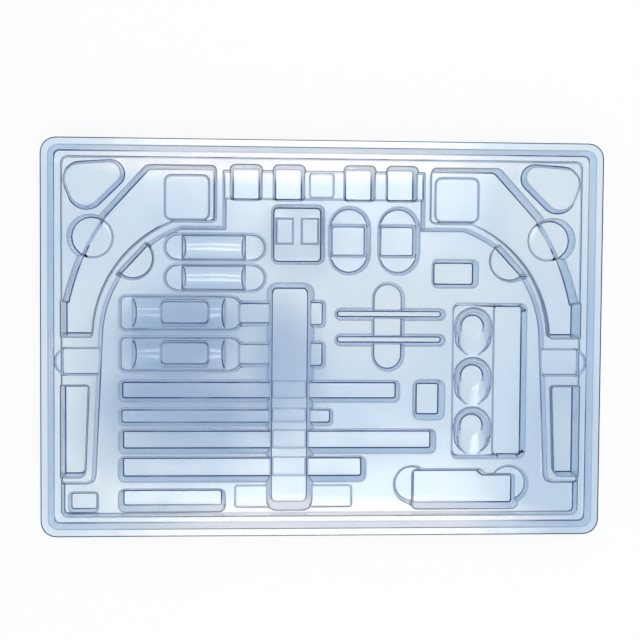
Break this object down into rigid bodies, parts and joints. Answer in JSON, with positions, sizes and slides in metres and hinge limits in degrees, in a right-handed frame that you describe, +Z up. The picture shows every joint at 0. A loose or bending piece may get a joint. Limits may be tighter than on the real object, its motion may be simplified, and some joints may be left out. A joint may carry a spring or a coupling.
{
  "type": "vacuum formed tray",
  "caption": "Clear thin-sheet vacuum formed kit tray: rectangular with a flanged rim, curved side pockets, slots, troughs and cells that hold a set of items.",
  "frame": {"origin": "middle of the footprint, on the surface the tray stands on", "axes": "+X along the long side, +Y towards the row of small square cells, +Z up out of the pockets"},
  "size_m": [0.4, 0.282, 0.031],
  "materials": {
    "clear_sheet": "gloss, clear with a pale blue tint"
  },
  "bodies": {
    "root": {"tray": "clear_sheet"}
  },
  "joints": []
}
